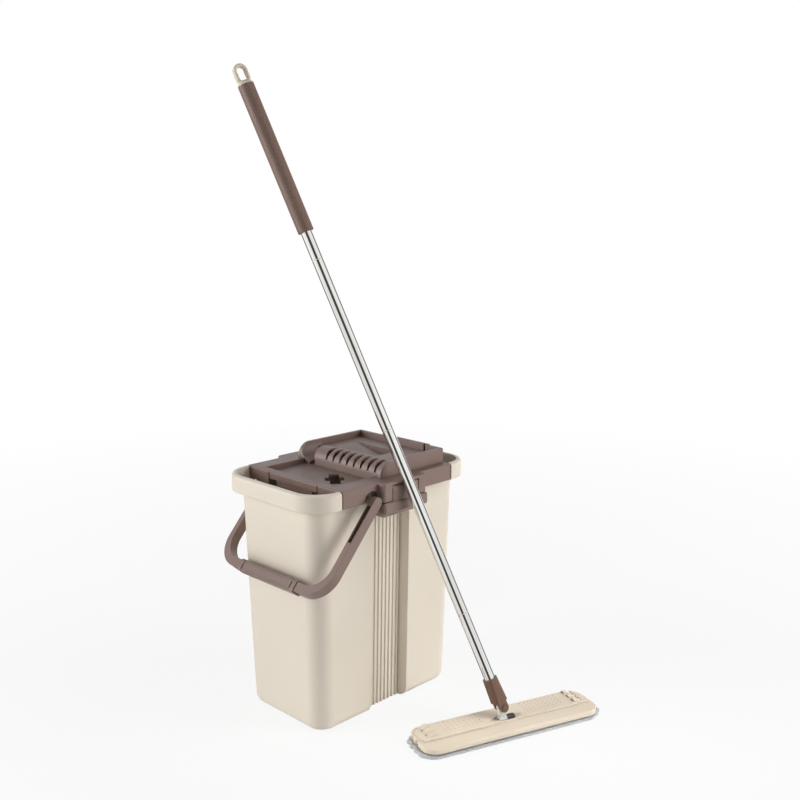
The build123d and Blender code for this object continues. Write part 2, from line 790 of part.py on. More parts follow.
# ---------------------------------------------------------------- mop directions
def mop_long():
    """Direction of the head's long side."""
    return Vector(cos(radians(mop_yaw)), sin(radians(mop_yaw)), 0)


def mop_short():
    """Direction across the head, towards the tub."""
    return Vector(-sin(radians(mop_yaw)), cos(radians(mop_yaw)), 0)


def lean_setting(lean):
    """Fork pin centre and pole direction for a lean of the yoke towards the tub."""
    upright = mop_short() * sin(lean) + Vector(0, 0, 1) * cos(lean)
    eye = Vector(mop_pivot_x, mop_pivot_y, mop_pivot_z) - mop_long() * yoke_offset
    pin = eye + upright * swivel_link
    side = radians(side_lean)
    pole = upright * cos(side) - mop_long() * sin(side)
    return upright, pin, pole


def tub_clearance(lean):
    """Gap between the pole's tube and the rounded edge of the latch bridge."""
    upright, pin, pole = lean_setting(lean)
    edge_y = -latch_face + lid_edge_radius
    edge_z = tub_height - lid_edge_radius
    slope = hypot(pole.Y, pole.Z)
    offset = ((edge_y - pin.Y) * pole.Z - (edge_z - pin.Z) * pole.Y) / slope
    return offset - lid_edge_radius - tube_radius


def resting_lean():
    """Lean at which the pole stands the rest gap away from the latch bridge."""
    low, high = 0.0, radians(40)
    for step in range(60):
        middle = (low + high) / 2
        if tub_clearance(middle) > rest_gap:
            low = middle
        else:
            high = middle
    return (low + high) / 2


yoke_lean = resting_lean()
yoke_up, fork_centre, pole_up = lean_setting(yoke_lean)
head_place = Pos(mop_pivot_x, mop_pivot_y, 0) * Rot(0, 0, mop_yaw)
pin_axis = mop_short() * cos(yoke_lean) - Vector(0, 0, 1) * sin(yoke_lean)
pole_side = pole_up.cross(pin_axis) * -1
pole_place = Location(Plane(origin=fork_centre, x_dir=pole_side, z_dir=pole_up))
yoke_origin = Vector(mop_pivot_x, mop_pivot_y, mop_pivot_z) - mop_long() * yoke_offset
yoke_place = Location(Plane(origin=yoke_origin, x_dir=mop_long(), z_dir=yoke_up))


# ---------------------------------------------------------------- mop head
def make_mop_pad():
    """Microfibre pad as a plain rounded block."""
    pad = rounded_slab(pad_length, pad_width, pad_corner_radius, 0, pad_thickness)
    pad = fillet(pad.edges().group_by(Axis.Z)[-1], 2.5)
    return head_place * fillet(pad.edges().group_by(Axis.Z)[0], 2)


def make_plate_board():
    """Under-board between the pad and the moulded cover."""
    board = rounded_slab(board_length, board_width, cover_corner_radius - 3, board_z, cover_z)
    for x in screw_stations():
        board -= rod((x, 0, board_z - 1), (0, 0, 1), board_thickness + 2, screw_diameter + 2 * screw_clearance)
        board -= rod((x, 0, board_z - 1), (0, 0, 1), 1 + board_thickness / 2, screw_head_diameter + 1)
    return head_place * board


def screw_stations():
    """Where the head's screws stand along its length."""
    return (-100, -45, 45, 100)


def clip_stations():
    """Centres of the pad clips as x, y and the end they belong to."""
    places = []
    for end in (-1, 1):
        for row in (-1, 0, 1):
            places.append((end * clip_x, row * clip_pitch + clip_row_y, end))
    return places


def make_plate_cover():
    """Moulded head plate with its step, ridges, dimples, clip windows and bearing boss."""
    shoulder = cover_top - cover_step
    cover = rounded_slab(cover_length, cover_width, cover_corner_radius, cover_z, shoulder)
    cover = fillet(cover.edges().group_by(Axis.Z)[-1], 2.5)
    crown_width = cover_width - cover_margin - front_band
    crown = rounded_slab(cover_length - 10, crown_width, cover_corner_radius - 5, cover_z, cover_top)
    crown = fillet(crown.edges().group_by(Axis.Z)[-1], cover_step * 0.9)
    cover += Pos(0, (front_band - cover_margin) / 2, 0) * crown
    for end in (-1, 1):
        ridge = Pos(end * (ridge_length / 2 + ridge_start), ridge_y, cover_top - 1)
        bar = Box(ridge_length, ridge_width, 2 + ridge_height)
        bar = fillet(bar.edges().group_by(Axis.Z)[-1], 1.5)
        cover += ridge * bar
        for column in range(dimple_columns):
            for row in range(dimple_rows):
                x = end * (dimple_start + column * dimple_pitch)
                y = dimple_first_y + row * dimple_pitch
                start = (x, y, cover_top - dimple_depth)
                cover -= rod(start, (0, 0, 1), 3, dimple_diameter)
    well_half = knuckle_half + 0.5
    well_y = knuckle_diameter / 2 + 2
    well_floor = mop_pivot_z - knuckle_diameter / 2 - 0.6
    cheek = well_half + bearing_length
    bow = ThreePointArc((-groove_half, 0), (0, groove_radius), (groove_half, 0))
    spindle = revolve(make_face(bow + Line((groove_half, 0), (-groove_half, 0))), Axis.X)
    cover -= Pos(0, 0, cover_top + 1) * spindle
    cover -= box(-well_half, well_half, -well_y, well_y, well_floor, cover_top + 1)
    cover -= rod((-cheek + 3, 0, mop_pivot_z), (1, 0, 0), 2 * cheek - 6, axle_diameter)
    for x in screw_stations():
        hole = screw_diameter + 2 * screw_clearance
        cover -= rod((x, 0, cover_z - 1), (0, 0, 1), 8, hole)
    for x, y, end in clip_stations():
        half_l = clip_length / 2
        half_w = clip_width / 2
        cover -= box(x - half_l, x + half_l, y - half_w, y + half_w, cover_z - 1, cover_top + 1)
        edge_x = end * (cover_length / 2 + end_notch_width / 2 - end_notch_depth)
        cover -= rod((edge_x, y, cover_z - 1), (0, 0, 1), cover_thickness + 2, end_notch_width)
    return head_place * cover


def make_pad_clips():
    """Arched spring tongues that grip the pad's edge, one in each window."""
    clips = []
    for x, y, end in clip_stations():
        half_l = clip_length / 2 - 0.6
        half_w = clip_width / 2 - 0.6
        root = end * half_l
        tongue = box(x - half_l, x + half_l, y - half_w, y + half_w, cover_top - 4.5, cover_top + 0.8)
        hollow = rod((x - clip_length, y, cover_top - 8), (1, 0, 0), 2 * clip_length, 12)
        crown = rod((x - clip_length, y, cover_top - 8), (1, 0, 0), 2 * clip_length, 17)
        tongue = (tongue & crown) - hollow
        foot = box(*sorted((x + root, x + root - end * 3)), y - half_w, y + half_w, cover_z, cover_top - 3)
        clips.append(head_place * (tongue + foot))
    return clips


def plate_screws():
    """Countersunk screws from below the board into the cover."""
    screws = []
    for x in screw_stations():
        seat = board_z + board_thickness / 2
        head = rod((x, 0, seat - 1), (0, 0, 1), 1, screw_head_diameter)
        shank = rod((x, 0, seat - 0.1), (0, 0, 1), 7, screw_diameter)
        screws.append(head_place * (head + shank))
    return screws


def make_yoke_axle():
    """Black axle with its fixed knuckle half, held in the plate's boss."""
    half = knuckle_half + 0.5 + bearing_length - 3
    axle = rod((-half, 0, mop_pivot_z), (1, 0, 0), 2 * half, axle_diameter)
    axle += rod((0.4, 0, mop_pivot_z), (1, 0, 0), knuckle_half - 0.4, knuckle_diameter)
    return head_place * axle


def make_swivel_yoke():
    """White yoke: a knuckle on the axle and a tongue between the fork's ears."""
    yoke = rod((yoke_offset - knuckle_half, 0, 0), (1, 0, 0), knuckle_half, knuckle_diameter)
    half = tongue_thickness / 2
    yoke += box(-tongue_width / 2 + 1, yoke_offset - 0.6, -half, half, 0, swivel_link)
    eye_start = (0, -half, swivel_link)
    yoke += rod(eye_start, (0, 1, 0), tongue_thickness, tongue_width)
    yoke -= rod((-clear_big / 2, 0, 0), (1, 0, 0), clear_big, axle_diameter + 2 * joint_clearance)
    bore = fork_pin_diameter + 2 * joint_clearance
    yoke -= rod((0, -clear_big / 2, swivel_link), (0, 1, 0), clear_big, bore)
    return yoke_place * yoke


def make_fork_socket():
    """Brown socket: two ears round the yoke's tongue and a bore for the lower tube."""
    gap_half = tongue_thickness / 2 + 0.3
    ear_half = gap_half + ear_thickness
    top = RectangleRounded(fork_width_top, fork_width_top, 9)
    bottom = RectangleRounded(fork_width_bottom, 2 * ear_half, 6)
    sections = [Plane.XY.offset(fork_slot_height - 5) * bottom, Plane.XY.offset(fork_length) * top]
    fork = loft(sections)
    ear_round = tongue_width / 2 + 0.5
    for side in (-1, 1):
        y_low, y_high = sorted((side * gap_half, side * ear_half))
        ear = box(-ear_round, ear_round, y_low, y_high, 0, fork_slot_height)
        ear += rod((0, y_low, 0), (0, 1, 0), y_high - y_low, 2 * ear_round)
        fork += ear
    slot_reach = tongue_width / 2 + 1.5
    fork -= box(-clear_big, clear_big, -gap_half, gap_half, -clear_big, slot_reach)
    bore = tube_diameter + 2 * insert_clearance
    fork -= rod((0, 0, fork_length - socket_depth), (0, 0, 1), socket_depth + 1, bore)
    fork -= rod((0, -clear_big / 2, 0), (0, 1, 0), clear_big, fork_pin_diameter)
    return pole_place * fork


def make_fork_pin():
    """Rivet across the fork's ears with a low head at each end."""
    half = tongue_thickness / 2 + 0.3 + ear_thickness
    pin = rod((0, -half, 0), (0, 1, 0), 2 * half, fork_pin_diameter)
    for side in (-1, 1):
        pin += rod((0, side * half, 0), (0, side, 0), 1.2, fork_pin_diameter + 3)
    return pole_place * pin


# ---------------------------------------------------------------- pole
def make_tube(low, high):
    """One polished tube between two distances from the fork pin, with a rolled crimp near its top."""
    inner = tube_diameter - 2 * tube_wall
    tube = pipe((0, 0, low), (0, 0, 1), high - low, tube_diameter, inner)
    return pole_place * tube


def make_tube_joint(station):
    """Threaded insert between two tubes, with a thin collar that shows."""
    bore = tube_diameter - 2 * tube_wall - 2 * insert_clearance
    start = (0, 0, station - insert_length / 2)
    insert = pipe(start, (0, 0, 1), insert_length, bore, bore - 5)
    collar = (0, 0, station - insert_collar / 2)
    insert += pipe(collar, (0, 0, 1), insert_collar, tube_diameter, bore - 5)
    return pole_place * insert


def make_grip_sleeve():
    """Brown sleeve on the top tube, closed over the tube's end."""
    bore = tube_diameter + 2 * insert_clearance
    sleeve = rod((0, 0, grip_bottom), (0, 0, 1), grip_top - grip_bottom, sleeve_diameter)
    sleeve = fillet(sleeve.edges().group_by(Axis.Z)[0], 1.5)
    sleeve -= rod((0, 0, grip_bottom - 1), (0, 0, 1), grip_top - grip_bottom + 2, bore)
    return pole_place * sleeve


def make_hang_cap():
    """Cream end cap with a flared base and an oval hanging eye."""
    eye_height = cap_top - grip_top
    eye_straight = eye_height - eye_width
    flare = loft([
        Plane.XY.offset(grip_top + 0.1) * Circle(sleeve_diameter / 2),
        Plane.XY.offset(grip_top + cap_flare_height) * RectangleRounded(19, 11, 5),
    ])
    plug_bore = tube_diameter - 2 * tube_wall - 2 * insert_clearance
    plug = rod((0, 0, grip_top - cap_plug_depth), (0, 0, 1), cap_plug_depth + 0.5, plug_bore)
    ring = SlotCenterToCenter(eye_straight, eye_width, rotation=90)
    hole = SlotCenterToCenter(eye_straight, eye_opening, rotation=90)
    eye_face = Pos(0, cap_top - (eye_straight + eye_width) / 2) * (ring - hole)
    eye = extrude(Plane.XZ * eye_face, 4.5, both=True)
    eye = fillet(eye.edges(), 1.8)
    eye &= box(-20, 20, -20, 20, grip_top + cap_flare_height - 2, cap_top + 1)
    return pole_place * (flare + plug + eye)


def group(solids):
    """Several separate solids as one node."""
    return Compound(children=[solid for piece in solids for solid in piece.solids()])


def build():
    """All nodes of the assembly."""
    parts["bucket_shell"] = make_bucket_shell()
    parts["wringer_frame"] = make_wringer_frame()
    parts["hood_cover"] = make_hood_cover()
    parts["louvre_grille"] = make_louvre_grille()
    parts["wash_comb"] = make_wash_comb()
    bar, blade, rods, springs = make_squeeze_set()
    parts["squeeze_bar"] = bar
    parts["squeeze_blade"] = blade
    parts["squeeze_rods"] = group(rods)
    parts["squeeze_springs"] = group(springs)
    parts["lid_screws"] = group(hood_screws())
    for side, name in ((-1, "front"), (1, "back")):
        parts["latch_flap_" + name] = make_latch_flap(side)
        pin_start = (-pin_half, side * latch_pin_y, latch_pin_z)
        parts["latch_pin_" + name] = rod(pin_start, (1, 0, 0), 2 * pin_half, latch_pin_diameter)
        parts["latch_keeper_" + name] = make_latch_keeper(side)
        parts["bail_post_" + name] = make_bail_post(side)
    parts["bail_handle"] = make_bail_handle()
    parts["bail_grip"] = make_bail_grip()

    parts["mop_pad"] = make_mop_pad()
    parts["plate_board"] = make_plate_board()
    parts["plate_cover"] = make_plate_cover()
    parts["plate_screws"] = group(plate_screws())
    parts["pad_clips"] = group(make_pad_clips())
    parts["yoke_axle"] = make_yoke_axle()
    parts["swivel_yoke"] = make_swivel_yoke()
    parts["fork_socket"] = make_fork_socket()
    parts["fork_pin"] = make_fork_pin()

    collar = insert_collar / 2
    lower_start = fork_length - socket_depth + 0.5
    parts["tube_lower"] = make_tube(lower_start, tube_joint_lower - collar)
    parts["tube_middle"] = make_tube(tube_joint_lower + collar, tube_joint_middle - collar)
    parts["tube_upper"] = make_tube(tube_joint_middle + collar, tube_joint_upper - collar)
    parts["tube_top"] = make_tube(tube_joint_upper + collar, grip_top)
    joints = [tube_joint_lower, tube_joint_middle, tube_joint_upper]
    parts["tube_joints"] = group([make_tube_joint(station) for station in joints])
    parts["grip_sleeve"] = make_grip_sleeve()
    parts["hang_cap"] = make_hang_cap()


build()
os.makedirs("parts", exist_ok=True)
for name, shape in parts.items():
    export_step(shape, "parts/" + name + ".step")

print("bail rest angle", round(degrees(bail_rest_angle()), 2))
print("yoke lean", round(degrees(yoke_lean), 3))
print("fork pin", fork_centre)
print("pole direction", pole_up)
print("pin axis", pin_axis)
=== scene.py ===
"""Flat squeeze mop with its two-slot wringer bucket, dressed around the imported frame."""
import json
import math

import bpy
from mathutils import Matrix, Vector, noise


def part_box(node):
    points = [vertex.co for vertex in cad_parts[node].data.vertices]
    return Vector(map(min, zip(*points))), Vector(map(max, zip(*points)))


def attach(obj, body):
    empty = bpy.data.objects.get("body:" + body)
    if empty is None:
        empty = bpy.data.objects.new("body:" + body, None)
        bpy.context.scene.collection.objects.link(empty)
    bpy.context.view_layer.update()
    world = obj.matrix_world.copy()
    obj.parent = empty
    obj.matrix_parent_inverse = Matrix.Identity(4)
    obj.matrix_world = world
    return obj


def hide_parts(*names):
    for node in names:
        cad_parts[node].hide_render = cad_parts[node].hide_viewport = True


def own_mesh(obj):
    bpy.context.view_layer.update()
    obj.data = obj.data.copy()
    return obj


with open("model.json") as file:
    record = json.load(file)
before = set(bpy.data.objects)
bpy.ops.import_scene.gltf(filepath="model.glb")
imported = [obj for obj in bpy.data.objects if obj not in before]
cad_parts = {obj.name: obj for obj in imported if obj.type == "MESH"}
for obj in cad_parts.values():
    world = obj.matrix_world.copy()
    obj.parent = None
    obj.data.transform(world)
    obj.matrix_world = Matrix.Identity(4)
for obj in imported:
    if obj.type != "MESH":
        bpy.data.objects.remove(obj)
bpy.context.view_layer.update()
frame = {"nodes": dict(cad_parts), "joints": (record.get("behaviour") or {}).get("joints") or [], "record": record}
NODES = frame["nodes"]
JOINTS = {j["name"]: j for j in frame["joints"]}
MM = 0.001
PLATE_HINGE = JOINTS["swivel_pitch"]


# ---------------------------------------------------------------- node helpers
class NodeTree:
    """A node tree with short ways to add and join nodes."""

    def __init__(self, tree):
        self.tree = tree
        self.tree.nodes.clear()

    def add(self, kind, **settings):
        node = self.tree.nodes.new(kind)
        for key, value in settings.items():
            setattr(node, key, value)
        return node

    def join(self, source, target):
        """Link a socket to the target, or set the target to a plain value."""
        if isinstance(source, bpy.types.NodeSocket):
            self.tree.links.new(source, target)
        else:
            target.default_value = source

    def ramp(self, value, low, high, to_low=0.0, to_high=1.0):
        """The value's place between low and high, held at the ends."""
        node = self.add("ShaderNodeMapRange")
        self.join(value, node.inputs["Value"])
        node.inputs["From Min"].default_value = low
        node.inputs["From Max"].default_value = high
        node.inputs["To Min"].default_value = to_low
        node.inputs["To Max"].default_value = to_high
        return node.outputs["Result"]

    def math(self, what, a, b=0.0):
        node = self.add("ShaderNodeMath", operation=what)
        self.join(a, node.inputs[0])
        self.join(b, node.inputs[1])
        return node.outputs[0]

    def vector(self, what, a, b=None):
        """A vector operation: a number for a dot product or a length, else a vector."""
        node = self.add("ShaderNodeVectorMath", operation=what)
        self.join(a, node.inputs[0])
        if b is not None:
            self.join(b, node.inputs[1])
        return node.outputs["Value" if what in ("DOT_PRODUCT", "LENGTH") else "Vector"]

    def mix_shaders(self, amount, first, second):
        node = self.add("ShaderNodeMixShader")
        self.join(amount, node.inputs["Fac"])
        self.join(first, node.inputs[1])
        self.join(second, node.inputs[2])
        return node.outputs[0]


class Shader(NodeTree):
    """A material's nodes. Patterns follow the object's own coordinates, in metres."""

    def __init__(self, name):
        self.material = bpy.data.materials.new(name)
        self.material.use_nodes = True
        super().__init__(self.material.node_tree)
        self.output = self.add("ShaderNodeOutputMaterial")
        self.place = self.add("ShaderNodeTexCoord").outputs["Object"]

    def noise(self, scale, detail=2.0):
        """Smooth noise from 0 to 1; scale is in cells per metre."""
        node = self.add("ShaderNodeTexNoise")
        self.join(self.place, node.inputs["Vector"])
        node.inputs["Scale"].default_value = scale
        node.inputs["Detail"].default_value = detail
        return node.outputs["Fac"]

    def mix(self, amount, a, b, blend="MIX"):
        node = self.add("ShaderNodeMix", data_type="RGBA", blend_type=blend)
        self.join(amount, node.inputs["Factor"])
        self.join(a, node.inputs["A"])
        self.join(b, node.inputs["B"])
        return node.outputs["Result"]

    def bump(self, height, distance, strength=1.0, normal=None):
        node = self.add("ShaderNodeBump")
        self.join(height, node.inputs["Height"])
        node.inputs["Distance"].default_value = distance
        node.inputs["Strength"].default_value = strength
        if normal:
            self.join(normal, node.inputs["Normal"])
        return node.outputs["Normal"]

    def soft_edges(self, radius):
        """Normals that run round every sharp edge, and how near an edge a point is."""
        node = self.add("ShaderNodeBevel", samples=4)
        node.inputs["Radius"].default_value = radius
        plain = self.add("ShaderNodeNewGeometry")
        turn = self.vector("DOT_PRODUCT", node.outputs["Normal"], plain.outputs["Normal"])
        return node.outputs["Normal"], self.ramp(turn, 1.0, 0.75)

    def facing_up(self):
        """How far a face looks up: 1 on a level top."""
        node = self.add("ShaderNodeNewGeometry")
        parts = self.add("ShaderNodeSeparateXYZ")
        self.join(node.outputs["True Normal"], parts.inputs[0])
        return parts.outputs["Z"]

    def openness(self, reach):
        """How open a point is: 1 on free faces, 0 deep in a corner or slot."""
        node = self.add("ShaderNodeAmbientOcclusion", samples=6)
        node.inputs["Distance"].default_value = reach
        return node.outputs["AO"]

    def principled(self, colour, roughness, normal=None, **uniform):
        node = self.add("ShaderNodeBsdfPrincipled")
        self.join(colour, node.inputs["Base Color"])
        self.join(roughness, node.inputs["Roughness"])
        if normal:
            self.join(normal, node.inputs["Normal"])
        for key, value in uniform.items():
            node.inputs[key.replace("_", " ")].default_value = value
        self.join(node.outputs["BSDF"], self.output.inputs["Surface"])
        return self.material


def srgb(red, green, blue):
    """Linear colour from 0..255 sRGB values."""
    def linear(value):
        value /= 255.0
        return value / 12.92 if value <= 0.04045 else ((value + 0.055) / 1.055) ** 2.4
    return (linear(red), linear(green), linear(blue), 1.0)


def shade(colour, factor):
    return tuple(channel * factor for channel in colour[:3]) + (1.0,)


# ---------------------------------------------------------------- materials
# Pattern sizes of moulded plastic, in cells per metre.
CLOUD, FLECK, WEAR_AND_HIGHLIGHT_PATCH, GLOSS_PATCH, SPARK_GRAIN, SINK = 9.0, 1400.0, 60.0, 35.0, 2600.0, 22.0
SPARK_DEPTH, SINK_DEPTH = 0.00002, 0.0003


def moulded(name, colour, roughness, edge_radius, flow=0.04, edge_wear_and_highlight=1.3, corner_shade=0.8, spec=0.5,
            reach=0.014, top_shade=1.0, open_at=0.85):
    """Injection-moulded plastic: cloudy tint, spark-eroded grain, pale edges that are partly rubbing
    wear and partly painted highlight, and painted shade in corners and on level tops.

    flow is how much the tint varies, dust how dark the painted shade in a corner of the size of
    reach gets until open_at, and top_shade how much darker the level tops are painted.
    """
    s = Shader(name)
    rounded, edge = s.soft_edges(edge_radius)
    cloud = s.ramp(s.noise(CLOUD, 3.0), 0.3, 0.7)
    body = s.mix(cloud, shade(colour, 1.0 - flow), shade(colour, 1.0 + flow))
    body = s.mix(s.ramp(s.noise(FLECK, 1.0), 0.4, 0.75, 0.0, 0.12), body, shade(colour, 1.15))
    # Painted shade: corners and slots are darkened towards half the colour as they close in.
    corner = s.ramp(s.openness(reach), 0.15, open_at, corner_shade, 0.0)
    body = s.mix(corner, body, shade(colour, 0.5))
    # Painted shade: level tops are painted darker than the sides.
    if top_shade != 1.0:
        shaded_top = s.mix(1.0, body, shade((1.0, 1.0, 1.0), top_shade), "MULTIPLY")
        body = s.mix(s.ramp(s.facing_up(), 0.85, 0.99), body, shaded_top)
    # Edges painted paler: partly rubbing wear, partly painted highlight.
    wear_and_highlight = s.math("MULTIPLY", edge, s.ramp(s.noise(WEAR_AND_HIGHLIGHT_PATCH, 4.0), 0.35, 0.7, 0.25, 0.8))
    body = s.mix(wear_and_highlight, body, shade(colour, edge_wear_and_highlight))
    gloss = s.ramp(s.noise(GLOSS_PATCH, 4.0), 0.3, 0.7, roughness - 0.04, roughness + 0.05)
    normal = s.bump(s.noise(SPARK_GRAIN), SPARK_DEPTH, 0.6, rounded)
    normal = s.bump(s.noise(SINK, 1.0), SINK_DEPTH, 0.2, normal)
    return s.principled(body, gloss, normal, Specular_IOR_Level=spec)


DRAW_STRETCH = 0.02
FINE_LINES, LINE_DEPTH = 1500.0, 0.000004


def drawn_steel(name, light, dark, roughness, along, streaks=60.0):
    """Polished steel with long streaks, partly draw marks and partly painted reflection, and fine lines along one
    direction.
    """
    s = Shader(name)
    axis = Vector(along).normalized()
    side = axis.orthogonal().normalized()
    other = axis.cross(side)
    spread = s.add("ShaderNodeCombineXYZ")
    for index, way in enumerate((axis * DRAW_STRETCH, side, other)):
        s.join(s.vector("DOT_PRODUCT", s.place, way), spread.inputs[index])
    s.place = spread.outputs["Vector"]
    # The dark and light streaks along the axis are partly draw marks and partly painted reflection.
    wide = s.noise(streaks, 1.0)
    fine = s.noise(FINE_LINES)
    tone = s.math("ADD", s.ramp(wide, 0.38, 0.62, 0.0, 0.85), s.ramp(fine, 0.3, 0.7, 0.0, 0.15))
    body = s.mix(tone, dark, light)
    gloss = s.ramp(wide, 0.3, 0.7, roughness * 1.5, roughness * 0.7)
    normal = s.bump(fine, LINE_DEPTH, 0.4)
    return s.principled(body, gloss, normal, Metallic=1.0)


LOOPS, LOOP_DEPTH = 620.0, 0.0005
FIBRES, FIBRE_DEPTH = 2400.0, 0.0002
PILE_PATCH = 60.0


def pile(name, colour):
    """Short looped microfibre pile."""
    s = Shader(name)
    loops = s.add("ShaderNodeTexVoronoi", feature="F1")
    s.join(s.place, loops.inputs["Vector"])
    loops.inputs["Scale"].default_value = LOOPS
    # Painted shade: the pile is darker down between the loops than on their tops.
    depth = s.ramp(loops.outputs["Distance"], 0.0, 0.75, 1.0, 0.0)
    body = s.mix(depth, shade(colour, 0.74), shade(colour, 1.06))
    body = s.mix(s.ramp(s.noise(PILE_PATCH, 3.0), 0.35, 0.7, 0.0, 0.3), body, shade(colour, 0.86))
    normal = s.bump(depth, LOOP_DEPTH, 0.6)
    normal = s.bump(s.noise(FIBRES), FIBRE_DEPTH, 0.5, normal)
    return s.principled(body, 0.9, normal, Sheen_Weight=0.35, Sheen_Roughness=0.5,
                        Specular_IOR_Level=0.2)


KNUCKLE_HALF, KNUCKLE_SEAM = 0.0150, 0.0006


def knuckle(name):
    """Glossy black hinge knuckle; beyond it the spindle takes the plate's beige."""
    s = Shader(name)
    from_hinge = s.vector("SUBTRACT", s.place, Vector(PLATE_HINGE["pos_m"]))
    along = s.vector("DOT_PRODUCT", from_hinge, Vector(PLATE_HINGE["axis"]).normalized())
    outer = s.ramp(s.math("ABSOLUTE", along), KNUCKLE_HALF, KNUCKLE_HALF + KNUCKLE_SEAM)
    rounded, edge = s.soft_edges(0.0008)
    black = s.mix(s.ramp(s.noise(40.0, 3.0), 0.3, 0.7), srgb(30, 28, 28), srgb(52, 49, 48))
    # Painted highlight: the black knuckle's edges turn pale grey.
    black = s.mix(edge, black, srgb(120, 116, 114))
    beige = s.mix(s.ramp(s.noise(30.0, 3.0), 0.3, 0.7), srgb(196, 180, 158), srgb(208, 192, 170))
    gloss = s.ramp(s.noise(50.0), 0.3, 0.7, 0.18, 0.3)
    grain = s.bump(s.noise(900.0), 0.00003, 0.4, rounded)
    return s.principled(s.mix(outer, black, beige), gloss, grain)


CREAM = moulded("bucket_cream", srgb(233, 223, 207), 0.45, 0.0012, flow=0.012, edge_wear_and_highlight=1.12,
                corner_shade=0.45)
BROWN = moulded("lid_brown", srgb(136, 114, 106), 0.42, 0.0009, edge_wear_and_highlight=1.6, corner_shade=0.9,
                reach=0.018, top_shade=0.73, open_at=0.62)
WOOD_BROWN = moulded("socket_brown", srgb(112, 84, 68), 0.36, 0.0007, flow=0.12, edge_wear_and_highlight=1.6)
GRIP_BROWN = moulded("grip_brown", srgb(124, 100, 89), 0.5, 0.0008, edge_wear_and_highlight=1.2)
CAP_CREAM = moulded("cap_cream", srgb(222, 212, 192), 0.4, 0.0003, flow=0.01, edge_wear_and_highlight=1.03,
                    corner_shade=0.3, reach=0.006)
BEIGE = moulded("plate_beige", srgb(240, 226, 205), 0.42, 0.0008, flow=0.015, edge_wear_and_highlight=1.1,
                corner_shade=0.75)
WHITE = moulded("yoke_white", srgb(230, 229, 226), 0.25, 0.0007, flow=0.01, edge_wear_and_highlight=1.05)
DARK = moulded("board_dark", srgb(58, 54, 53), 0.5, 0.0006)
RUBBER = moulded("blade_rubber", srgb(112, 108, 106), 0.65, 0.0005, spec=0.3)
POLE_WAY = (-0.199726, 0.332964, 0.921545)
ROD_WAY = (1.0, 0.0, 0.0)
TUBE = drawn_steel("tube_steel", (0.93, 0.92, 0.9, 1.0), (0.72, 0.71, 0.69, 1.0), 0.05, POLE_WAY,
                   170.0)
STEEL = drawn_steel("rod_steel", (0.6, 0.6, 0.6, 1.0), (0.35, 0.35, 0.35, 1.0), 0.25, ROD_WAY)
SPRING = drawn_steel("coil_steel", (0.6, 0.6, 0.61, 1.0), (0.4, 0.4, 0.4, 1.0), 0.22, ROD_WAY)
PILE = pile("pad_pile", srgb(222, 223, 224))

FINISHES = {
    "cream_plastic": CREAM, "brown_plastic": BROWN, "wood_brown_plastic": WOOD_BROWN,
    "grip_brown": GRIP_BROWN, "beige_plastic": BEIGE, "white_plastic": WHITE,
    "black_plastic": knuckle("knuckle_black"), "dark_plastic": DARK, "grey_rubber": RUBBER,
    "polished_steel": TUBE, "steel": STEEL, "spring_steel": SPRING, "pad_fabric": PILE,
}
for part in frame["record"]["subparts"]:
    node = NODES[part["node"]]
    node.data.materials.clear()
    node.data.materials.append(FINISHES[part["material_slot"]])
NODES["hang_cap"].data.materials[0] = CAP_CREAM


# ---------------------------------------------------------------- piece helpers
def piece(name, points, faces, material):
    """A smooth mesh object from points in metres in the row frame."""
    mesh = bpy.data.meshes.new(name)
    mesh.from_pydata([tuple(p) for p in points], [], [tuple(f) for f in faces])
    mesh.validate()
    mesh.update()
    mesh.polygons.foreach_set("use_smooth", [True] * len(mesh.polygons))
    mesh.materials.append(material)
    thing = bpy.data.objects.new(name, mesh)
    bpy.context.scene.collection.objects.link(thing)
    return thing


def ring_points(half_long, half_wide, radius, per_corner, per_long, per_short):
    """Points round a rectangle with rounded corners, the same count for every size."""
    radius = max(radius, 0.0002)
    corners = ((1, 1, 0.0), (-1, 1, 0.5), (-1, -1, 1.0), (1, -1, 1.5))
    points = []
    for index, (sx, sy, start) in enumerate(corners):
        cx = sx * (half_long - radius)
        cy = sy * (half_wide - radius)
        arc = [
            (cx + radius * math.cos(math.pi * (start + 0.5 * k / per_corner)),
             cy + radius * math.sin(math.pi * (start + 0.5 * k / per_corner)))
            for k in range(per_corner + 1)
        ]
        points += arc
        nx, ny, next_start = corners[(index + 1) % 4]
        end = (nx * (half_long - radius) + radius * math.cos(math.pi * next_start),
               ny * (half_wide - radius) + radius * math.sin(math.pi * next_start))
        steps = per_long if index % 2 == 0 else per_short
        for k in range(1, steps):
            t = k / steps
            points.append((arc[-1][0] * (1 - t) + end[0] * t, arc[-1][1] * (1 - t) + end[1] * t))
    return points


# ---------------------------------------------------------------- the mop pad
HEAD = Vector(PLATE_HINGE["pos_m"])
HEAD.z = 0.0
HEAD_LONG = Vector(PLATE_HINGE["axis"]).normalized()
HEAD_WIDE = Vector((-HEAD_LONG.y, HEAD_LONG.x, 0.0))


def on_head(x, y, z):
    """A point of the mop plate's own frame, in the row frame."""
    return HEAD + HEAD_LONG * x + HEAD_WIDE * y + Vector((0.0, 0.0, z))


# Half sizes of the pad, and how far its soft roll stands out beside and at the ends.
PAD_LONG, PAD_WIDE, PAD_CORNER = 0.161, 0.040, 0.026
PAD_SWELL, END_SWELL = 0.0006, 0.0042
# The ends begin at END_START and are fully formed END_RUN further out.
END_START, END_RUN = 0.145, 0.019
END_LIFT, SIDE_SINK = 0.22, 0.26
# The three clips pull the pad in at these rows, with a bulge between them.
CLIP_ROWS = (0.029, 0.0145, 0.0)
DENT_WIDTH, DENT_DEPTH = 0.0036, 0.0034
BULGE_PITCH, BULGE = 0.0073, 0.0012
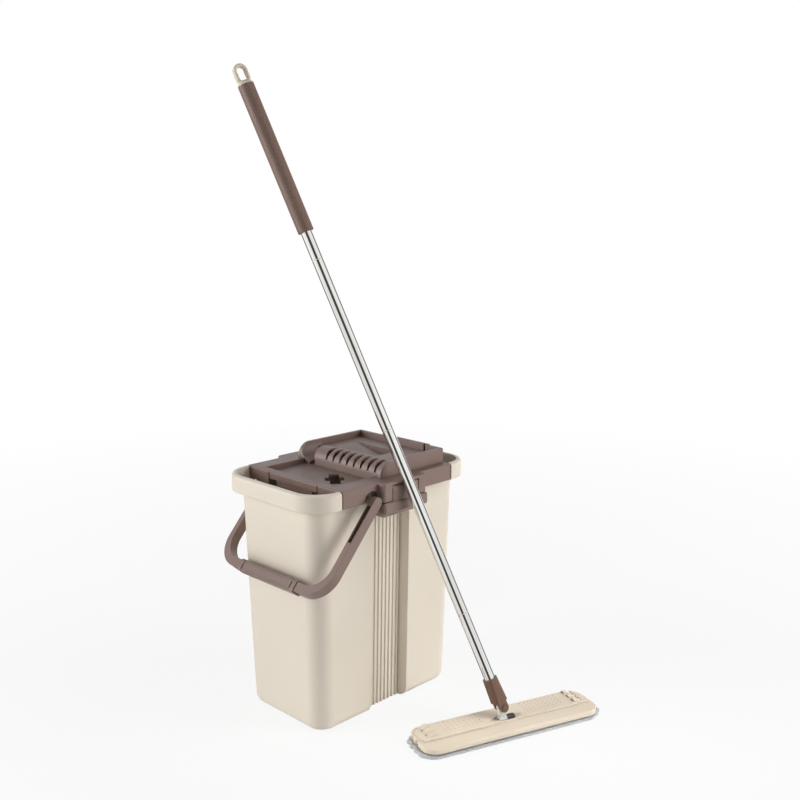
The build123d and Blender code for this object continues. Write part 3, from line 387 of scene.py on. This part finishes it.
# Cells per metre and height of the tufts, and of the slack waves.
TUFTS = ((330.0, 0.0009), (850.0, 0.0005))
WAVES, WAVE_HEIGHT = 45.0, 0.0016
# The flat face inside the roll: its outermost inset, the step between rings and its height.
FLAT_INSET, FLAT_STEP, FLAT_RINGS, FLAT_HEIGHT = 0.0355, 0.0055, 5, 0.0053
# The roll's section: inset and height in mm, from the plate round to the floor.
PAD_SECTION = (
    (8.0, 5.3), (6.5, 5.4), (5.2, 5.6), (4.2, 5.8), (3.3, 5.9), (2.4, 5.8), (1.6, 5.5), (1.0, 5.1),
    (0.5, 4.6), (0.2, 4.0), (0.0, 3.4), (0.0, 2.7), (0.2, 2.0), (0.6, 1.3), (1.1, 0.7), (1.8, 0.3),
    (2.6, 0.1), (3.6, 0.0), (5.0, 0.0), (8.0, 0.0),
)


def pad_point(x, y, z, wall):
    """A point of the pad with its tufts, its slack waves and the dents at the clip rows."""
    tuft = sum(noise.noise(Vector((x, y, z)) * cells) * height for cells, height in TUFTS)
    wave = noise.noise(Vector((x * WAVES, y * WAVES, 7.0))) * WAVE_HEIGHT
    end = max(0.0, (abs(x) - END_START) / END_RUN)
    dent = sum(math.exp(-((y - row) / DENT_WIDTH) ** 2) for row in CLIP_ROWS) * DENT_DEPTH * end
    bulge = BULGE * end * math.cos((y - BULGE_PITCH) * math.pi / BULGE_PITCH)
    out = Vector((x, y * 1.6, 0.0)).normalized() * (tuft + wave * (0.5 + end))
    out.x += math.copysign(bulge - dent + END_SWELL * min(1.0, end), x)
    end = min(1.0, end)
    lift = (tuft + wave * 0.4) * wall + z * (END_LIFT * end - SIDE_SINK * wall * (1.0 - end))
    return on_head(x + out.x * wall, y + out.y * wall, max(0.0, z + lift))


def make_pad():
    """Microfibre pad: a soft roll all round, pulled in where the clips hold it."""
    inner = [FLAT_INSET - FLAT_STEP * step for step in range(FLAT_RINGS)]
    section = [(inset, FLAT_HEIGHT) for inset in inner]
    section += [(inset * MM, height * MM) for inset, height in PAD_SECTION]
    section += [(inset, 0.0) for inset in reversed(inner)]
    points = []
    for inset, height in section:
        ring = ring_points(PAD_LONG + PAD_SWELL - inset, PAD_WIDE + PAD_SWELL - inset,
                           PAD_CORNER + PAD_SWELL - inset, 24, 260, 70)
        wall = max(0.0, min(1.0, (0.0075 - inset) / 0.003))
        points += [pad_point(x, y, height, wall) for x, y in ring]
    count = len(ring)
    faces = []
    for row in range(len(section) - 1):
        for k in range(count):
            a = row * count + k
            b = row * count + (k + 1) % count
            faces.append((a, b, b + count, a + count))
    last = (len(section) - 1) * count
    faces.append(tuple(range(count - 1, -1, -1)))
    faces.append(tuple(range(last, last + count)))
    pad = piece("microfibre_pad", points, faces, PILE)
    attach(pad, "mop_head")
    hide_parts("mop_pad")


make_pad()


# ---------------------------------------------------------------- pad clips
# Where the clips stand, how far they reach out and in from there, and half their width.
CLIP_X, CLIP_OUT, CLIP_IN, CLIP_HALF, CLIP_EASE = 0.134, 0.0079, 0.0070, 0.0051, 0.0003
# The rise of the inner end, the sink of the outer one, and the wall's thickness.
CLIP_RISE, CLIP_SUNK, CLIP_WALL, CLIP_THICKER = 0.0038, 0.0012, 0.0014, 0.0026
CLIP_BELOW_TOP, CLIP_ROUND_SHARE = 0.0005, 0.45
CLIP_STEPS_LONG, CLIP_STEPS_WIDE = 18, 16


def clip_points(end, centre_y, top):
    """Upper then lower skin of one tongue, in rows from its outer to its inner end."""
    points = []
    for skin in (0, 1):
        for row in range(CLIP_STEPS_LONG + 1):
            u = row / CLIP_STEPS_LONG
            lip = max(0.0, 1.0 - u / CLIP_ROUND_SHARE)
            half = CLIP_HALF * math.sqrt(max(0.0, 1.0 - lip * lip)) + CLIP_EASE
            x = end * (CLIP_X + CLIP_OUT - u * (CLIP_OUT + CLIP_IN))
            rise = CLIP_RISE * u * u * (3 - 2 * u)
            wall = CLIP_WALL + CLIP_THICKER * u * u
            for column in range(CLIP_STEPS_WIDE + 1):
                v = 2 * column / CLIP_STEPS_WIDE - 1
                arch = max(0.0, 1 - v * v) ** 0.6
                z = top - CLIP_SUNK + (CLIP_SUNK + rise) * arch - skin * wall
                points.append(on_head(x, centre_y + v * half, z))
    return points


def clip_faces(end, base):
    """Both skins and the rim between them, for the points that begin at base."""
    rows, width = CLIP_STEPS_LONG, CLIP_STEPS_WIDE + 1
    under = (rows + 1) * width
    faces = []
    for row in range(rows):
        for column in range(width - 1):
            a = base + row * width + column
            quad = (a, a + 1, a + 1 + width, a + width)
            low = tuple(index + under for index in reversed(quad))
            faces += [quad, low] if end > 0 else [quad[::-1], low[::-1]]
    rim = [row * width for row in range(rows + 1)]
    rim += [rows * width + column for column in range(1, width)]
    rim += [row * width + width - 1 for row in reversed(range(rows))]
    rim += [column for column in reversed(range(1, width - 1))]
    for k, index in enumerate(rim):
        a, b = base + index, base + rim[(k + 1) % len(rim)]
        quad = (a, a + under, b + under, b)
        faces.append(quad if end < 0 else quad[::-1])
    return faces


def make_clips():
    """Petal-shaped spring tongues: rounded and flush outside, arched over a slot inside."""
    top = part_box("pad_clips")[1][2] - CLIP_BELOW_TOP
    points, faces = [], []
    for end in (-1, 1):
        for centre_y in CLIP_ROWS:
            faces += clip_faces(end, len(points))
            points += clip_points(end, centre_y, top)
    clips = piece("clip_tongues", points, faces, BEIGE)
    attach(clips, "mop_head")
    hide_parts("pad_clips")


make_clips()


# ---------------------------------------------------------------- squeeze springs
COIL_TURNS, COIL_PER_TURN, COIL_AROUND = 5, 28, 8
COIL_WIRE = 0.0006
COIL_WIDTH = 0.010


def make_springs():
    """Three coils on the guide rods, from the lid's hanger to the squeezing bar."""
    low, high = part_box("squeeze_springs")
    radius = (high[2] - low[2]) / 2 - COIL_WIRE
    middle_z = (high[2] + low[2]) / 2
    spacing = ((high[1] - low[1]) - COIL_WIDTH) / 2
    steps = COIL_TURNS * COIL_PER_TURN
    points, faces = [], []
    for row in (-1, 0, 1):
        centre = Vector((0.0, (low[1] + high[1]) / 2 + row * spacing, middle_z))
        base = len(points)
        for k in range(steps + 1):
            angle = 2 * math.pi * k / COIL_PER_TURN
            x = low[0] + COIL_WIRE + (high[0] - low[0] - 2 * COIL_WIRE) * k / steps
            out = Vector((0.0, math.cos(angle), math.sin(angle)))
            for m in range(COIL_AROUND):
                turn = 2 * math.pi * m / COIL_AROUND
                at = centre + out * (radius + COIL_WIRE * math.cos(turn))
                points.append((x + COIL_WIRE * math.sin(turn), at.y, at.z))
        for k in range(steps):
            for m in range(COIL_AROUND):
                a = base + k * COIL_AROUND + m
                b = base + k * COIL_AROUND + (m + 1) % COIL_AROUND
                faces.append((a, a + COIL_AROUND, b + COIL_AROUND, b))
        faces.append(tuple(base + m for m in range(COIL_AROUND)))
        faces.append(tuple(base + steps * COIL_AROUND + m for m in reversed(range(COIL_AROUND))))
    coils = piece("spring_coils", points, faces, SPRING)
    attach(coils, "squeezer")
    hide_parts("squeeze_springs")
    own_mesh(coils)


make_springs()


# ---------------------------------------------------------------- camera
camera = bpy.data.objects.new("camera", bpy.data.cameras.new("camera"))
bpy.context.scene.collection.objects.link(camera)
right = Vector((0.7038, -0.7104, 0.0))
up = Vector((0.1362, 0.1349, 0.9816))
back = -Vector((0.6973, 0.6908, -0.1917))
spot = Vector((-1.1009, -1.2086, 0.8228))
camera.matrix_world = Matrix((
    (right.x, up.x, back.x, spot.x),
    (right.y, up.y, back.y, spot.y),
    (right.z, up.z, back.z, spot.z),
    (0.0, 0.0, 0.0, 1.0),
))
camera.data.lens = 45.87
camera.data.sensor_width = 36.0
bpy.context.scene.camera = camera


# ---------------------------------------------------------------- lamps
def softbox(name, place, target, size, watts):
    """A rectangular lamp that faces its target."""
    lamp = bpy.data.lights.new(name, "AREA")
    lamp.shape = "RECTANGLE"
    lamp.size, lamp.size_y = size
    lamp.energy = watts
    thing = bpy.data.objects.new(name, lamp)
    bpy.context.scene.collection.objects.link(thing)
    thing.location = place
    thing.rotation_euler = (Vector(target) - Vector(place)).to_track_quat("-Z", "Y").to_euler()
    return thing


BUCKET_MIDDLE = (0.0, 0.0, 0.25)
softbox("left_softbox", (-2.6, 1.7, 1.2), BUCKET_MIDDLE, (1.6, 1.8), 66.0)
right_box = softbox("right_softbox", (1.9, -2.6, 1.2), BUCKET_MIDDLE, (2.0, 2.2), 67.0)
right_box.visible_glossy = False
softbox("top_softbox", (0.2, 0.4, 2.8), (0.0, 0.0, 0.2), (2.0, 2.0), 3.0)
head_lamp = softbox("head_softbox", (0.3, -0.9, 1.3), (0.08, -0.34, 0.0), (0.4, 0.4), 0.32)
head_lamp.data.spread = math.radians(40)


# ---------------------------------------------------------------- studio walls and floor
STUDIO_FRONT = (-0.707, -0.707, 0.0)
# From straight behind the object (0) round both sides to straight in front (1): wall brightness.
BAND_LEVELS = (
    (0.1, 0.95), (0.17, 0.1), (0.33, 0.1), (0.43, 1.0), (0.955, 1.0), (0.972, 0.06), (0.99, 0.06),
)
SOFT_LEVEL = 0.24
FLOOR_HALF, FLOOR_GREY = 12.0, 0.92
# The floor fades to plain white between these distances, from this share of it.
FADE_FROM, FADE_TO, FADE_SHARE = 0.4, 2.2, 0.85


def studio_bands(nodes, way):
    """What metal mirrors: white walls at both sides, with dark gaps before and behind them."""
    level_way = nodes.vector("NORMALIZE", nodes.vector("MULTIPLY", way, (1.0, 1.0, 0.0)))
    facing = nodes.vector("DOT_PRODUCT", level_way, STUDIO_FRONT)
    bands = nodes.add("ShaderNodeValToRGB")
    nodes.join(nodes.ramp(facing, -1.0, 1.0), bands.inputs["Fac"])
    stops = bands.color_ramp.elements
    for place, level in BAND_LEVELS:
        stops.new(place).color = (level, level, level, 1.0)
    stops.remove(stops[0])
    stops.remove(stops[-1])
    return bands.outputs["Color"]


def background(nodes, strength):
    """White light from all round."""
    node = nodes.add("ShaderNodeBackground")
    node.inputs["Color"].default_value = (1.0, 1.0, 1.0, 1.0)
    nodes.join(strength, node.inputs["Strength"])
    return node.outputs[0]


world = bpy.data.worlds.new("studio")
bpy.context.scene.world = world
world.use_nodes = True
sky = NodeTree(world.node_tree)
path = sky.add("ShaderNodeLightPath")
around = sky.add("ShaderNodeTexCoord")
clear = sky.math("MAXIMUM", path.outputs["Is Camera Ray"], path.outputs["Is Transmission Ray"])
backdrop = sky.mix_shaders(clear, background(sky, SOFT_LEVEL), background(sky, 1.0))
walls = background(sky, studio_bands(sky, around.outputs["Generated"]))
mirror = sky.mix_shaders(path.outputs["Is Glossy Ray"], backdrop, walls)
sky.join(mirror, sky.add("ShaderNodeOutputWorld").inputs["Surface"])

ground = Shader("pale_floor")
path = ground.add("ShaderNodeLightPath")
dull = ground.add("ShaderNodeBsdfDiffuse")
dull.inputs["Color"].default_value = (FLOOR_GREY, FLOOR_GREY, FLOOR_GREY, 1.0)
plain = ground.ramp(ground.vector("LENGTH", ground.place), FADE_FROM, FADE_TO, FADE_SHARE, 1.0)
seen_white = ground.add("ShaderNodeEmission")
mirrored = ground.add("ShaderNodeEmission")
from_mop = ground.vector("SUBTRACT", ground.place, HEAD)
ground.join(studio_bands(ground, from_mop), mirrored.inputs["Strength"])
seen = ground.mix_shaders(ground.math("MULTIPLY", path.outputs["Is Camera Ray"], plain),
                          dull.outputs[0], seen_white.outputs[0])
surface = ground.mix_shaders(path.outputs["Is Glossy Ray"], seen, mirrored.outputs[0])
ground.join(surface, ground.output.inputs["Surface"])
floor = piece("studio_floor", [(-FLOOR_HALF, -FLOOR_HALF, 0.0), (FLOOR_HALF, -FLOOR_HALF, 0.0),
                               (FLOOR_HALF, FLOOR_HALF, 0.0), (-FLOOR_HALF, FLOOR_HALF, 0.0)],
              [(0, 1, 2, 3)], ground.material)

bpy.context.scene.view_settings.view_transform = "Standard"
